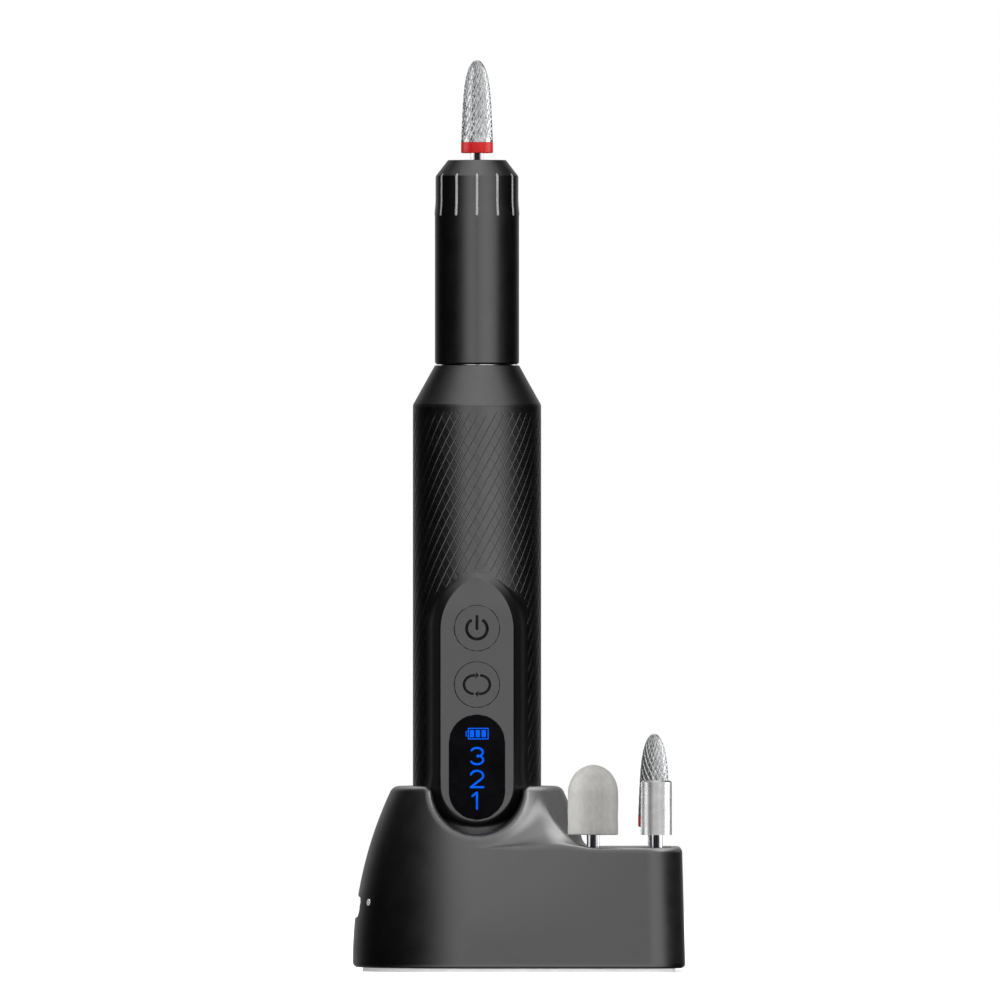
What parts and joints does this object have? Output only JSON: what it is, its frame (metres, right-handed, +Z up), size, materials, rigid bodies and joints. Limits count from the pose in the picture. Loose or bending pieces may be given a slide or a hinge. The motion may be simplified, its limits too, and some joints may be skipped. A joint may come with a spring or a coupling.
{
  "type": "electric nail drill",
  "caption": "Cordless pen-shaped nail drill with a knurled grip, control panel and twist-lock nose, standing in a charging dock that holds spare bits.",
  "frame": {"origin": "where the handpiece axis meets the table, on the underside of the non-slip pad", "axes": "+Z up along the handpiece axis, control panel towards -Y, bit rack towards +X"},
  "size_m": [0.0631, 0.0472, 0.1731],
  "materials": {
    "dock_plastic": "satin black moulded plastic",
    "base_plastic": "black moulded plastic, fine texture",
    "pad_rubber": "milky non-slip silicone",
    "screw_steel": "zinc plated",
    "ballast_steel": "punched mild steel",
    "rack_plastic": "satin black moulded plastic",
    "circuit_board": "green solder mask",
    "socket_steel": "stamped and plated",
    "light_pipe": "clear polished light pipe",
    "gold_contact": "gold plated",
    "spring_steel": "drawn wire",
    "shank_steel": "ground steel",
    "dome_ceramic": "fine abrasive ceramic",
    "mandrel_chrome": "polished",
    "carbide": "ground carbide flutes",
    "grade_band": "red grade band",
    "grip_plastic": "satin black, knurled",
    "panel_plastic": "satin black, fine texture",
    "lens_gloss": "polished smoked window",
    "display_white": "white reflector frame",
    "black_parts": "black moulded plastic",
    "chassis_plastic": "natural nylon",
    "cell_wrap": "blue shrink wrap",
    "nickel_strip": "nickel strip",
    "lead_insulation": "silicone insulation",
    "motor_steel": "zinc plated can",
    "magnet": "sintered ferrite",
    "damper_rubber": "black rubber",
    "copper_steel": "wound and varnished",
    "machined_steel": "turned steel",
    "bearing_steel": "ground and polished",
    "nose_plastic": "satin black moulded plastic"
  },
  "bodies": {
    "dock": {"dock_shell": "dock_plastic", "dock_base_plate": "base_plastic", "anti_slip_pad": "pad_rubber", "dock_screws": "screw_steel", "ballast_plate": "ballast_steel", "bit_rack": "rack_plastic", "contact_board": "circuit_board", "usb_board": "circuit_board", "usb_socket": "socket_steel", "charge_light_pipe": "light_pipe", "pogo_barrels": "gold_contact", "plus_pogo_spring": "spring_steel", "minus_pogo_spring": "spring_steel"},
    "plus_pogo": {"plus_pogo_pin": "gold_contact"},
    "minus_pogo": {"minus_pogo_pin": "gold_contact"},
    "dome_bit": {"dome_bit_shank": "shank_steel", "dome_bit_head": "dome_ceramic"},
    "mandrel_bit": {"mandrel_bit_shank": "shank_steel", "mandrel_bit_barrel": "mandrel_chrome"},
    "carbide_bit": {"carbide_bit_shank": "shank_steel", "carbide_bit_head": "carbide", "carbide_bit_band": "grade_band"},
    "handpiece": {"front_housing": "grip_plastic", "rear_housing": "grip_plastic", "rear_cap": "base_plastic", "rear_cap_screws": "screw_steel", "charge_contacts": "gold_contact", "control_panel": "panel_plastic", "display_lens": "lens_gloss", "display_module": "display_white", "tact_switches": "black_parts", "control_board": "circuit_board", "board_components": "black_parts", "chassis": "chassis_plastic", "battery_cell": "cell_wrap", "battery_tabs": "nickel_strip", "motor_leads": "lead_insulation", "motor_can": "motor_steel", "motor_end_bell": "black_parts", "motor_magnets": "magnet", "motor_damper": "damper_rubber", "shoulder_cone": "nose_plastic", "spindle_cartridge": "machined_steel", "sleeve_o_ring": "damper_rubber", "collet_spring": "spring_steel", "bearing_outer_races": "bearing_steel"},
    "power_button": {"power_key": "panel_plastic"},
    "direction_button": {"direction_key": "panel_plastic"},
    "nose": {"twist_sleeve": "nose_plastic"},
    "collar": {"release_collar": "machined_steel"},
    "spindle_train": {"rotor": "copper_steel", "motor_coupler": "machined_steel", "spindle_coupler": "machined_steel", "spindle": "machined_steel", "collet": "machined_steel", "bearing_inner_races": "bearing_steel"},
    "ball_sets": {"bearing_balls": "bearing_steel"},
    "fitted_bit": {"fitted_bit_shank": "shank_steel", "fitted_bit_head": "carbide", "fitted_bit_band": "grade_band"}
  },
  "joints": [
    {"name": "handpiece_lift", "type": "slide", "parent": "dock", "child": "handpiece", "axis": [0, 0, 1], "range_m": [0, 0.04]},
    {"name": "dome_bit_lift", "type": "slide", "parent": "dock", "child": "dome_bit", "axis": [0, 0, 1], "range_m": [0, 0.022]},
    {"name": "mandrel_bit_lift", "type": "slide", "parent": "dock", "child": "mandrel_bit", "axis": [0, 0, 1], "range_m": [0, 0.022]},
    {"name": "carbide_bit_lift", "type": "slide", "parent": "dock", "child": "carbide_bit", "axis": [0, 0, 1], "range_m": [0, 0.022]},
    {"name": "plus_pogo_press", "type": "slide", "parent": "dock", "child": "plus_pogo", "axis": [0, 0, 1], "range_m": [-0.0006, 0], "stiffness_N_per_m": 400, "springref_m": 0.001, "deforming": ["plus_pogo_spring"]},
    {"name": "minus_pogo_press", "type": "slide", "parent": "dock", "child": "minus_pogo", "axis": [0, 0, 1], "range_m": [-0.0006, 0], "stiffness_N_per_m": 400, "springref_m": 0.001, "deforming": ["minus_pogo_spring"]},
    {"name": "power_press", "type": "slide", "parent": "handpiece", "child": "power_button", "axis": [0, 1, 0], "range_m": [0, 0.0004], "stiffness_N_per_m": 1500, "springref_m": -0.0004},
    {"name": "direction_press", "type": "slide", "parent": "handpiece", "child": "direction_button", "axis": [0, 1, 0], "range_m": [0, 0.0004], "stiffness_N_per_m": 1500, "springref_m": -0.0004},
    {"name": "nose_twist", "type": "hinge", "parent": "handpiece", "child": "nose", "pos_m": [0, 0, 0.135], "axis": [0, 0, 1], "range_deg": [0, 60]},
    {"name": "collar_slide", "type": "slide", "parent": "handpiece", "child": "collar", "axis": [0, 0, -1], "range_m": [0, 0.0012], "deforming": ["collet_spring"]},
    {"name": "spindle_spin", "type": "hinge", "parent": "handpiece", "child": "spindle_train", "pos_m": [0, 0, 0.13], "axis": [0, 0, 1], "continuous": true},
    {"name": "ball_orbit", "type": "hinge", "parent": "handpiece", "child": "ball_sets", "pos_m": [0, 0, 0.13], "axis": [0, 0, 1], "continuous": true},
    {"name": "bit_release", "type": "slide", "parent": "spindle_train", "child": "fitted_bit", "axis": [0, 0, 1], "range_m": [0, 0.025]}
  ],
  "couplings": [
    {"joint": "nose_twist", "follows": "collar_slide", "rad_per_m": 872.66},
    {"joint": "ball_orbit", "follows": "spindle_spin", "ratio": 0.4111}
  ]
}
